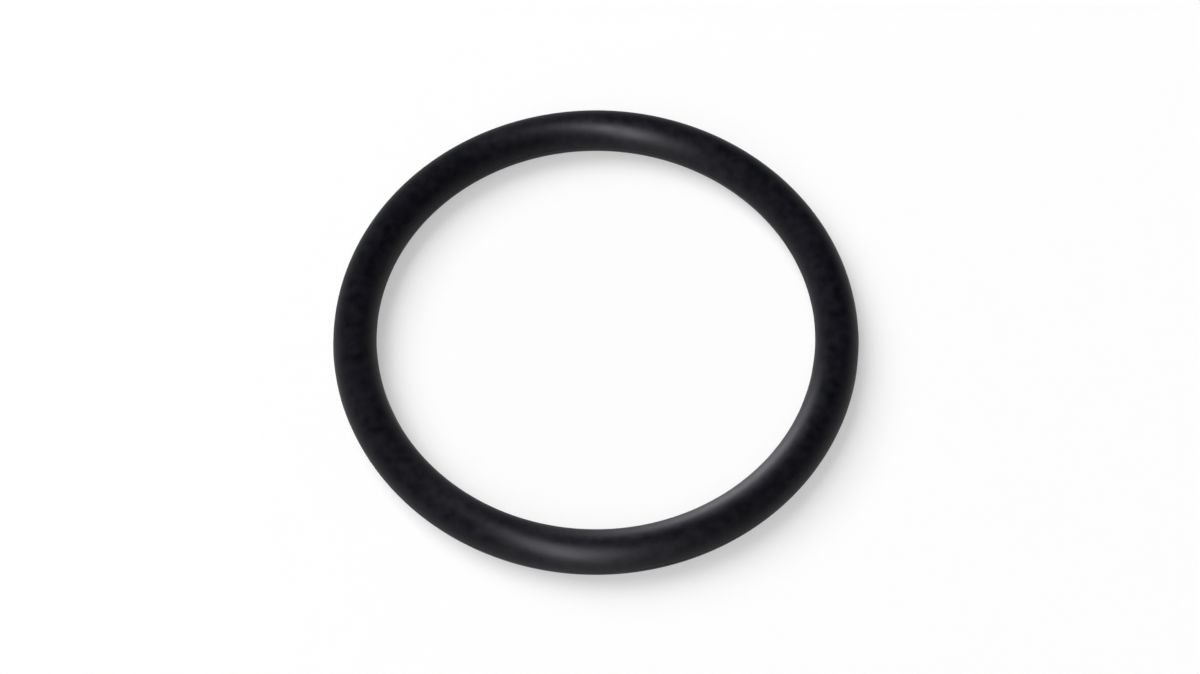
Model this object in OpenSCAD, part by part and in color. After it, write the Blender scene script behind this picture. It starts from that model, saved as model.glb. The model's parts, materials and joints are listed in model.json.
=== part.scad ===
// Moulded rubber O-ring: one solid ring with a round section, lying flat.
// The origin is the ring's centre, and +Z is its axis.

/* [Ring] */
// Inside diameter, which is the size the ring is sold by
inside_d = 36.09; // [20:0.01:120]
// Diameter of the round section
section_d = 3.53; // [1.5:0.01:7]

/* [Parting line] */
// How far the trimmed flash stands out of the section, inside and outside
flash_h = 0.03; // [0.01:0.01:0.08]
// Diameter of the rounded bead that the trimmed flash leaves
flash_d = 0.14; // [0.1:0.01:0.3]

/* [Hidden] */

// Smoothness of the ring and its section, and of the fine bead
ring_facets = 180;
bead_facets = 24;

section_r = section_d / 2;
// Radius of the circle through the middle of the section
mean_r = inside_d / 2 + section_r;
// Distance from the middle of the section to the middle of a bead
bead_offset = section_r + flash_h - flash_d / 2;

// The section as the mould's two halves leave it: round, with a trace of flash
// where they meet, on the inside and on the outside of the ring
module moulded_section() {
    circle(d = section_d, $fn = ring_facets);
    for (side = [-1, 1])
        translate([side * bead_offset, 0])
            circle(d = flash_d, $fn = bead_facets);
}

// The whole ring, moulded in one piece
module o_ring() {
    color("#17181b")
        rotate_extrude($fn = ring_facets)
            translate([mean_r, 0])
                moulded_section();
}

o_ring();
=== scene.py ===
# %% [markdown]
# # A black rubber O-ring on a white table
# An O-ring is one of the plainest things that is made: a round cord of rubber closed into a ring.
# With so little to draw, the picture depends on three things, and this lesson takes them in turn:
# a form that is round to the last pixel, a rubber that is black but never flat, and lamps whose
# soft reflections run along the ring and let the eye read its roundness.

# %% Tools and frame
import json
import math

import bpy
import numpy as np
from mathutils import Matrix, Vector, noise


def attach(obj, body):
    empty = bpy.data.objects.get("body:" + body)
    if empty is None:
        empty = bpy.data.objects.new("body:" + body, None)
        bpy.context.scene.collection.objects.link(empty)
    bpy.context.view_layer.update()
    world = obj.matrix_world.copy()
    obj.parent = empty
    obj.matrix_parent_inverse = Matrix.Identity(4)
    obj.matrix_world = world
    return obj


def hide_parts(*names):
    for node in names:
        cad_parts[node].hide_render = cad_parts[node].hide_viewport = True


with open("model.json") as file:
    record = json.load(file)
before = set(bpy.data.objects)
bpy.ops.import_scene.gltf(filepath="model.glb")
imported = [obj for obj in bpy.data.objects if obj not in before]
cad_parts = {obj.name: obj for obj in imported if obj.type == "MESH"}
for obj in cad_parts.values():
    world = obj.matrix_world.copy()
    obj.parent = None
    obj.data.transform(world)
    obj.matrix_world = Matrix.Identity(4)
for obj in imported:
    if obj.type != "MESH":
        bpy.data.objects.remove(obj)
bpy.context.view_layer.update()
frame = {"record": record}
MM = 0.001

# %% [markdown]
# ## The sizes that drive everything
# The ring is sold by two numbers, its inside diameter and the thickness of its section. The part's
# record gives the radii of the inner and outer seats, and both numbers follow from them, so nothing
# here is typed twice. The ring lies flat, so the table is half a section below its middle.

# %% Read the ring's sizes from the record
seats = {mount["name"]: mount["dims"]["r_mm"] * MM for mount in frame["record"]["mounts"]}
inner_r = seats["shaft_seat"]
outer_r = seats["bore_seat"]
section_r = (outer_r - inner_r) / 2
mean_r = (outer_r + inner_r) / 2
table_z = -section_r
print("inside diameter %.2f mm, section %.2f mm" % (2 * inner_r / MM, 2 * section_r / MM))

# %% [markdown]
# ## The camera
# In the photograph the ring is an oval, as a round ring is when it is seen from about sixty degrees
# above the table. A 60 mm lens is a usual macro lens, and the distance follows from how many pixels
# the ring covers with it. The camera aims a little beside the ring's centre, which puts the ring in
# the frame where the photograph has it, and keeps the lens free of any shift. A Blender camera hides
# what is nearer than 100 mm, which is a lot beside so small a thing, so that limit is lowered.

# %% Place the camera
LENS = 60.0
CAMERA_ELEVATION = math.radians(60.8)
CAMERA_DISTANCE = 164.7 * MM
NEAREST_SEEN = 10 * MM
AIM_POINT = Vector((0.33, -0.75, 0.0)) * MM

camera_data = bpy.data.cameras.new("camera")
camera_data.lens = LENS
camera_data.clip_start = NEAREST_SEEN
camera = bpy.data.objects.new("camera", camera_data)
bpy.context.scene.collection.objects.link(camera)
camera.location = CAMERA_DISTANCE * Vector((0, -math.cos(CAMERA_ELEVATION), math.sin(CAMERA_ELEVATION)))
camera.rotation_euler = (AIM_POINT - camera.location).to_track_quat("-Z", "Y").to_euler()
bpy.context.scene.camera = camera
print("camera at", [round(x / MM, 1) for x in camera.location], "mm")

# %% [markdown]
# ## The section, with its parting line
# A rubber ring is pressed between two steel plates, each with half of the groove cut into it. A hair
# of rubber creeps between the plates, is trimmed off, and leaves a low bead on the inside and on the
# outside of the ring. It is only 0.03 mm high, but it is how anyone knows a moulded ring in the hand.
# A torus primitive can't hold such a detail without being dense everywhere, so the section is drawn
# by its angles: wide steps on the plain faces, and fine steps across the two beads.

# %% List the section's angles
FLASH_HEIGHT = 0.03 * MM
FLASH_HALF_WIDTH = 0.045 * MM
FACE_STEPS = 44
BEAD_STEPS = 16
BEAD_REACH = 2.5 * FLASH_HALF_WIDTH
bead_half_angle = BEAD_REACH / section_r


def half_section(start):
    """Angles of half the section: across the bead at start, then over the face up to the next bead."""
    bead_end = start + bead_half_angle
    next_bead = start + math.pi - bead_half_angle
    across = np.linspace(start - bead_half_angle, bead_end, BEAD_STEPS, endpoint=False)
    over = np.linspace(bead_end, next_bead, FACE_STEPS, endpoint=False)
    return np.concatenate([across, over])


section_angles = np.concatenate([half_section(0.0), half_section(math.pi)])
print("points round the section:", len(section_angles))

# %% [markdown]
# ## The trimmed flash is never even
# Flash is torn or tumbled off, so the bead rises and falls along the ring. A noise that is read on a
# circle comes back to where it began, which closes the ring without a seam. It has no random seed,
# so the ring is the same on every run.

# %% Let the flash rise and fall along the ring
RING_STEPS = 600
FLASH_PATCH = 2.2 * MM
# These three are shares of the full height.
FLASH_MEAN = 0.6
FLASH_SWING = 0.6
FLASH_LEAST = 0.15
ring_angles = np.linspace(0.0, 2 * math.pi, RING_STEPS, endpoint=False)


def flash_along(radius):
    """The bead's height at each step round a circle of this radius."""
    around = [Vector((math.cos(a), math.sin(a), 0.0)) * radius / FLASH_PATCH for a in ring_angles]
    swing = np.array([noise.noise(point) for point in around])
    return FLASH_HEIGHT * np.clip(FLASH_MEAN + FLASH_SWING * swing, FLASH_LEAST, 1.0)


flash_inside = flash_along(inner_r)
flash_outside = flash_along(outer_r)
print("flash outside, mm: %.3f to %.3f" % (flash_outside.min() / MM, flash_outside.max() / MM))

# %% [markdown]
# ## Sweeping the section round the ring
# The whole ring is one grid of points: one row for each step round the ring, one column for each
# angle of the section. Each point sits at the section's radius, plus the bead where there is one.
# The grid's last row joins its first and its last column joins its first, so the skin is closed.

# %% Build the ring's mesh
def bead(angle_from_line, height):
    """How far the skin stands out at this angle from a parting line."""
    return height * math.exp(-((angle_from_line * section_r / FLASH_HALF_WIDTH) ** 2))


def ring_point(ring_angle, section_angle, inside, outside):
    """One point of the skin, in metres."""
    from_outside = math.remainder(section_angle, 2 * math.pi)
    from_inside = math.remainder(section_angle - math.pi, 2 * math.pi)
    reach = section_r + bead(from_outside, outside) + bead(from_inside, inside)
    radius = mean_r + reach * math.cos(section_angle)
    return (radius * math.cos(ring_angle), radius * math.sin(ring_angle), reach * math.sin(section_angle))


def closed_grid(rows, columns):
    """The quads of a grid whose edges are joined both ways."""
    for row in range(rows):
        here = row * columns
        beyond = ((row + 1) % rows) * columns
        for column in range(columns):
            beside = (column + 1) % columns
            yield (here + column, beyond + column, beyond + beside, here + beside)


points = [
    ring_point(ring_angle, section_angle, inside, outside)
    for ring_angle, inside, outside in zip(ring_angles, flash_inside, flash_outside)
    for section_angle in section_angles
]
ring_mesh = bpy.data.meshes.new("o_ring_skin")
ring_mesh.from_pydata(points, [], list(closed_grid(RING_STEPS, len(section_angles))))
ring_mesh.polygons.foreach_set("use_smooth", [True] * len(ring_mesh.polygons))
ring_mesh.update()
o_ring = bpy.data.objects.new("o_ring_skin", ring_mesh)
bpy.context.scene.collection.objects.link(o_ring)
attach(o_ring, "root")
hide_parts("o_ring")
print("ring mesh:", len(ring_mesh.vertices), "points,", 2 * len(ring_mesh.polygons), "triangles")

# %% [markdown]
# ## Helpers for materials
# A colour that is picked on a screen is an sRGB value, and a shader works with light, which is
# linear. One function turns the one into the other. A second one adds a node, sets its values and
# makes its links, so that a material reads as a list of what feeds what.

# %% Helpers for colours and nodes
def linear(hex_colour):
    """An sRGB colour such as #808080 as linear red, green, blue and alpha."""
    channels = [int(hex_colour[i:i + 2], 16) / 255 for i in (1, 3, 5)]
    return [c / 12.92 if c <= 0.04045 else ((c + 0.055) / 1.055) ** 2.4 for c in channels] + [1.0]


def add_node(tree, kind, settings=None, **inputs):
    """Adds a node. settings are its own properties, and inputs are values or sockets to link.

    An input goes by its name, or by its number where names repeat, as _0 for the first.
    """
    node = tree.nodes.new(kind)
    for name, value in (settings or {}).items():
        setattr(node, name, value)
    for name, value in inputs.items():
        key = int(name[1:]) if name[1:].isdigit() else name.replace("_", " ")
        if isinstance(value, bpy.types.NodeSocket):
            tree.links.new(value, node.inputs[key])
        else:
            node.inputs[key].default_value = value
    return node


def new_material(name):
    """An empty node material with its output."""
    material = bpy.data.materials.new(name)
    material.use_nodes = True
    material.node_tree.nodes.clear()
    return material, material.node_tree, material.node_tree.nodes.new("ShaderNodeOutputMaterial")


print("a screen's middle grey is only %.2f of white as light" % linear("#808080")[0])

# %% [markdown]
# ## Nitrile rubber, compression moulded
# The ring is nitrile rubber filled with carbon black, pressed in a fine-turned steel mould. The carbon
# makes it a cold near-black, and waxes that creep out of the rubber lie on it as a faint bloom. The
# bloom comes in two sizes: broad clouds along the ring, and small flecks where hands and talc touched
# it. One noise draws each, and their mix picks the colour and the polish. A noise seldom leaves the
# middle of its range, so that middle is stretched to the whole. The skin is satin: smooth enough to
# show a lamp, but only as a soft blurred streak. Such rubber is usually given a roughness of about 0.5,
# and the photograph's streaks ask for a little less.

# %% Make the rubber's colour and polish
CLOUD_SIZE = 5.0 * MM
FLECK_SIZE = 0.8 * MM
FLECK_SHARE = 0.7
CLEAN_COLOUR = "#05070c"
BLOOM_COLOUR = "#17161d"
CLEAN_ROUGHNESS = 0.40
BLOOM_ROUGHNESS = 0.46
NOISE_LOW = 0.35
NOISE_HIGH = 0.65

rubber, tree, output = new_material("moulded_nitrile_rubber")
place = add_node(tree, "ShaderNodeTexCoord").outputs["Object"]
clouds = add_node(tree, "ShaderNodeTexNoise", Vector=place, Scale=1 / CLOUD_SIZE, Detail=2.0).outputs["Fac"]
flecks = add_node(tree, "ShaderNodeTexNoise", Vector=place, Scale=1 / FLECK_SIZE, Detail=3.0).outputs["Fac"]
mixed = add_node(
    tree, "ShaderNodeMix", {"data_type": "FLOAT"}, _0=FLECK_SHARE, _2=clouds, _3=flecks,
).outputs[0]
bloom = add_node(
    tree, "ShaderNodeMapRange", Value=mixed, From_Min=NOISE_LOW, From_Max=NOISE_HIGH,
).outputs["Result"]
colour = add_node(
    tree, "ShaderNodeMix", {"data_type": "RGBA"},
    _0=bloom, _6=linear(CLEAN_COLOUR), _7=linear(BLOOM_COLOUR),
).outputs[2]
polish = add_node(
    tree, "ShaderNodeMapRange", Value=bloom, To_Min=CLEAN_ROUGHNESS, To_Max=BLOOM_ROUGHNESS,
).outputs["Result"]
print("bloom: clouds of %.1f mm and flecks of %.1f mm" % (CLOUD_SIZE / MM, FLECK_SIZE / MM))

# %% [markdown]
# The marks that the lathe left in the mould are circles about the ring's axis. A point's distance from
# that axis and its height are all that such a pattern depends on, so the noise is read from those two
# numbers alone and comes out as fine rings by itself. Two more noises are the slow swell of the skin as
# it cured and the fine grain of the filled rubber. Real turning marks lie about 0.05 mm apart and the
# grain is finer still. Both are drawn coarser here, or nothing of them would show.

# %% Add the relief of the skin
SWELL_PATCH = 3.2 * MM
SWELL_DEPTH = 0.02 * MM
TURNING_PITCH = 0.22 * MM
TURNING_DEPTH = 0.0015 * MM
GRAIN_SIZE = 0.16 * MM
GRAIN_DEPTH = 0.003 * MM

parts = add_node(tree, "ShaderNodeSeparateXYZ", Vector=place)
flat = add_node(tree, "ShaderNodeCombineXYZ", X=parts.outputs["X"], Y=parts.outputs["Y"])
from_axis = add_node(
    tree, "ShaderNodeVectorMath", {"operation": "LENGTH"}, _0=flat.outputs[0],
).outputs["Value"]
axis_and_height = add_node(tree, "ShaderNodeCombineXYZ", X=from_axis, Z=parts.outputs["Z"]).outputs[0]
turning = add_node(
    tree, "ShaderNodeTexNoise", Vector=axis_and_height, Scale=1 / TURNING_PITCH, Detail=2.0,
).outputs["Fac"]
swell = add_node(tree, "ShaderNodeTexNoise", Vector=place, Scale=1 / SWELL_PATCH, Detail=1.0).outputs["Fac"]
grain = add_node(tree, "ShaderNodeTexNoise", Vector=place, Scale=1 / GRAIN_SIZE, Detail=2.0).outputs["Fac"]
relief = add_node(tree, "ShaderNodeBump", Height=swell, Distance=SWELL_DEPTH).outputs[0]
relief = add_node(tree, "ShaderNodeBump", Height=turning, Distance=TURNING_DEPTH, Normal=relief).outputs[0]
relief = add_node(tree, "ShaderNodeBump", Height=grain, Distance=GRAIN_DEPTH, Normal=relief).outputs[0]
print("relief: turning marks every %.2f mm, grain of %.2f mm" % (TURNING_PITCH / MM, GRAIN_SIZE / MM))

# %% [markdown]
# Marks too fine to see still steer the gloss, as on a brushed pan: a reflection is drawn out across them
# and stays narrow along them. The shader calls this anisotropy, and it is told the marks' direction by a
# tangent. Marks from the mould alone would follow the cord exactly. In the photograph both streaks slant
# from upper left to lower right, and marks that run in circles round a point a little to the left of the
# ring's centre, as a wiping cloth leaves them, give that slant. The tangent at a point is square to the
# line from that centre, which is what a cross product with the upward direction works out.

# %% Find the direction of the fine marks
WIPE_CENTRE = (-5.5 * MM, 0.0, 0.0)
UPWARD = (0.0, 0.0, 1.0)

from_wipe_centre = add_node(
    tree, "ShaderNodeVectorMath", {"operation": "SUBTRACT"}, _0=place, _1=WIPE_CENTRE,
).outputs[0]
along_marks = add_node(
    tree, "ShaderNodeVectorMath", {"operation": "CROSS_PRODUCT"}, _0=UPWARD, _1=from_wipe_centre,
).outputs[0]
along_marks = add_node(
    tree, "ShaderNodeVectorTransform",
    {"vector_type": "VECTOR", "convert_from": "OBJECT", "convert_to": "WORLD"}, Vector=along_marks,
).outputs[0]
steepest = math.degrees(math.asin(abs(WIPE_CENTRE[0]) / mean_r))
print("the marks cross the cord at up to %.0f degrees" % steepest)

# %% [markdown]
# A quarter turn lays the long side of the gloss across the marks. Nitrile's IOR is about 1.52. The
# specular level is well under its usual half, because the bloom dulls the skin: at the usual level the
# ring's rims mirror the white table and turn grey.

# %% Put the rubber on the ring
NITRILE_IOR = 1.52
SPECULAR_LEVEL = 0.15
DRAWN_OUT = 0.76
QUARTER_TURN = 0.25

skin = add_node(
    tree, "ShaderNodeBsdfPrincipled",
    Base_Color=colour, Roughness=polish, Normal=relief, IOR=NITRILE_IOR, Specular_IOR_Level=SPECULAR_LEVEL,
    Anisotropic=DRAWN_OUT, Anisotropic_Rotation=QUARTER_TURN, Tangent=along_marks,
)
tree.links.new(skin.outputs[0], output.inputs["Surface"])
ring_mesh.materials.append(rubber)
print("material:", rubber.name, "with", len(tree.nodes), "nodes")

# %% [markdown]
# ## The table and the sweep behind it
# A studio lays one sheet of white paper on the table and lets it curve up at the edges, so that no
# horizon shows from any side. Here it is a shallow dish, drawn as one profile and turned round the
# ring's axis. Its curve is wide, because a tight one shows as a grey edge in a view from low down, and
# it ends not much higher than a low camera sees, so the rubber mirrors little of it.

# %% Build the white sweep
PAPER_FLAT = 600 * MM
PAPER_CURVE = 1000 * MM
PAPER_RISE = 200 * MM
PAPER_TURNS = 96
CURVE_STEPS = 24
last_slope = math.acos(1 - PAPER_RISE / PAPER_CURVE)


def sweep_profile():
    """Radius and height of the paper, from half way across its flat up to its rim."""
    yield (0.5 * PAPER_FLAT, table_z)
    for i in range(CURVE_STEPS + 1):
        slope = last_slope * i / CURVE_STEPS
        yield (PAPER_FLAT + PAPER_CURVE * math.sin(slope), table_z + PAPER_CURVE * (1 - math.cos(slope)))


profile = list(sweep_profile())
turns = [2 * math.pi * i / PAPER_TURNS for i in range(PAPER_TURNS)]
paper_points = [(0.0, 0.0, table_z)] + [
    (radius * math.cos(turn), radius * math.sin(turn), height)
    for turn in turns for radius, height in profile
]
# Point 0 is the middle. The profiles follow it, one for each turn, and each joins the next one.
per_turn = len(profile)
firsts = [1 + i * per_turn for i in range(PAPER_TURNS)]
neighbours = list(zip(firsts, firsts[1:] + firsts[:1]))
middle = [(0, a, b) for a, b in neighbours]
bands = [(a + j, a + j + 1, b + j + 1, b + j) for a, b in neighbours for j in range(per_turn - 1)]
paper_mesh = bpy.data.meshes.new("paper_sweep")
paper_mesh.from_pydata(paper_points, [], middle + bands)
paper_mesh.polygons.foreach_set("use_smooth", [True] * len(paper_mesh.polygons))
paper = bpy.data.objects.new("paper_sweep", paper_mesh)
bpy.context.scene.collection.objects.link(paper)
print("paper sweep: %.2f m across, rising %.2f m" % (2 * profile[-1][0], PAPER_RISE))

# %% [markdown]
# ## Paper that glows a little
# The photograph's shadow is nowhere darker than a light grey, even right under the ring. A studio gets
# that with a table that is lit from below too: the ring can take away the lamps' light, but not the glow.
# So the paper is a mix of a plain white that takes the shadow and a white that shines by itself. The
# glow counts only for what the camera sees, directly, in a gloss or through glass, so the rubber's own
# shading stays with the lamps. Background paper is uncoated, so its white is matt, without any gloss.

# %% Make the paper
PAPER_COLOUR = "#fdfdfd"
GLOW = 0.47

white_paper, tree, output = new_material("white_paper")
matt = add_node(tree, "ShaderNodeBsdfDiffuse", Color=linear(PAPER_COLOUR)).outputs[0]
glow = add_node(tree, "ShaderNodeEmission", Color=linear(PAPER_COLOUR), Strength=1.0).outputs[0]
ray = add_node(tree, "ShaderNodeLightPath").outputs
seen = add_node(
    tree, "ShaderNodeMath", {"operation": "MAXIMUM"}, _0=ray["Is Camera Ray"], _1=ray["Is Glossy Ray"],
).outputs[0]
seen = add_node(
    tree, "ShaderNodeMath", {"operation": "MAXIMUM"}, _0=seen, _1=ray["Is Transmission Ray"],
).outputs[0]
glow_share = add_node(tree, "ShaderNodeMath", {"operation": "MULTIPLY"}, _0=seen, _1=GLOW).outputs[0]
paper_skin = add_node(tree, "ShaderNodeMixShader", Fac=glow_share, _1=matt, _2=glow)
tree.links.new(paper_skin.outputs[0], output.inputs["Surface"])
paper_mesh.materials.append(white_paper)
print("the paper's own glow gives", GLOW, "of its white")

# %% [markdown]
# ## Lamps for the table
# Black rubber shows lamps far more than it shows light, so each lamp here has one job. A big softbox at
# the back left lights the table and lays the soft shadow to the lower right, and a weaker one at the
# front left fills it. A photographer hangs them where the rubber doesn't mirror them, or behind a black
# flag, and in Blender one switch keeps them out of the gloss. A lamp's power is worked out from its share
# of the light on the table. For that its face is cut into small squares, and the light that each square
# sends to the ring's place is added up. The shares and the room's own light add up to one: at that level
# a colour renders as it is written.

# %% Light the table
ROOM_SHARE = 0.03
LAMP_DISTANCE = 4.0
SOFTBOX_SIZE = 3.4
SQUARES = 24


def direction(azimuth, elevation):
    """A unit vector. Azimuth 0 points to the right and 90 away from the camera."""
    round_by = math.radians(azimuth)
    up_by = math.radians(elevation)
    flat_part = math.cos(up_by)
    return Vector((flat_part * math.cos(round_by), flat_part * math.sin(round_by), math.sin(up_by)))


def softbox(name, place, aim, width, height, brightness, in_gloss):
    """A flat soft lamp, this many times as bright as white paper. It lights the table or the gloss.

    An area lamp of pi watts a square metre looks as bright as white paper does here.
    """
    lamp = bpy.data.lights.new(name, "AREA")
    lamp.shape = "RECTANGLE"
    lamp.size = width
    lamp.size_y = height
    lamp.energy = math.pi * width * height * brightness
    stand = bpy.data.objects.new(name, lamp)
    bpy.context.scene.collection.objects.link(stand)
    stand.location = place
    stand.rotation_euler = (aim - place).to_track_quat("-Z", "Y").to_euler()
    stand.visible_camera = False
    stand.visible_glossy = in_gloss
    stand.visible_diffuse = not in_gloss
    print("%s: %.3g times as bright as paper" % (name, brightness))
    return lamp


def light_on_table(toward):
    """The light that a softbox of brightness one lays on the table. A whole sky of it lays pi."""
    side = toward.cross(Vector((0, 0, 1))).normalized()
    up = side.cross(toward)
    steps = [SOFTBOX_SIZE * ((i + 0.5) / SQUARES - 0.5) for i in range(SQUARES)]
    total = 0.0
    for across in steps:
        for along in steps:
            reach = LAMP_DISTANCE * toward + across * side + along * up
            total += reach.z * reach.dot(toward) / reach.length ** 4
    return total * (SOFTBOX_SIZE / SQUARES) ** 2


def table_lamp(name, azimuth, elevation, share):
    """A big square softbox that gives this share of the light on the table."""
    toward = direction(azimuth, elevation)
    brightness = share * math.pi / light_on_table(toward)
    place = LAMP_DISTANCE * toward
    return softbox(name, place, Vector(), SOFTBOX_SIZE, SOFTBOX_SIZE, brightness, in_gloss=False)


table_lamp("key_softbox", azimuth=150, elevation=53, share=0.77)
table_lamp("front_softbox", azimuth=240, elevation=55, share=0.20)

# %% [markdown]
# ## Lamps for the gloss
# Two more lamps are seen only as reflections. A tall strip box hangs over the camera. The ring mirrors
# it once on its near side and once on its far side, and the skin draws both into short streaks. It is
# very bright, because rubber this dull gives back so little of it. A small box with a grid over its
# face stands inside the ring and looks at the wall at the lower right, which is the only part to catch
# it. A grid keeps a lamp's light in a narrow cone, and in Blender the lamp's spread does that. No
# camera sees the lamps here: a photographer would take the small one out of the picture afterwards.
# Both are daylight tubes, a touch colder than the light on the table.

# %% Light the gloss
DAYLIGHT = linear("#f7f7ff")[:3]
STRIP_WIDTH = 0.3
STRIP_HEIGHT = 3.2
STRIP_BRIGHTNESS = 80
SMALL_BOX_PLACE = Vector((-0.5, 12.0, 3.4)) * MM
SMALL_BOX_WIDTH = 12 * MM
SMALL_BOX_HEIGHT = 9.8 * MM
SMALL_BOX_BRIGHTNESS = 2.4
GRID_ANGLE = math.radians(52)

strip_place = LAMP_DISTANCE * direction(azimuth=256, elevation=58)
strip = softbox(
    "strip_box", strip_place, Vector(), STRIP_WIDTH, STRIP_HEIGHT, STRIP_BRIGHTNESS, in_gloss=True,
)
strip.color = DAYLIGHT

small_box_aim = SMALL_BOX_PLACE + direction(azimuth=-69, elevation=-8)
small_box = softbox(
    "small_box", SMALL_BOX_PLACE, small_box_aim, SMALL_BOX_WIDTH, SMALL_BOX_HEIGHT, SMALL_BOX_BRIGHTNESS,
    in_gloss=True,
)
small_box.spread = GRID_ANGLE
small_box.color = DAYLIGHT

# %% [markdown]
# ## The room, and how colours are shown
# A studio's own walls give a little light from everywhere, so the world is a plain dim white. Blender's
# usual view transform bends the whites towards grey, so the plain one is used, in which a colour comes
# out as it was written.

# %% Light the room
world = bpy.data.worlds.new("studio")
world.use_nodes = True
bpy.context.scene.world = world
background = world.node_tree.nodes["Background"]
background.inputs["Color"].default_value = linear("#ffffff")
background.inputs["Strength"].default_value = ROOM_SHARE
bpy.context.scene.view_settings.view_transform = "Standard"
print("the room gives", ROOM_SHARE, "of the light on the table")
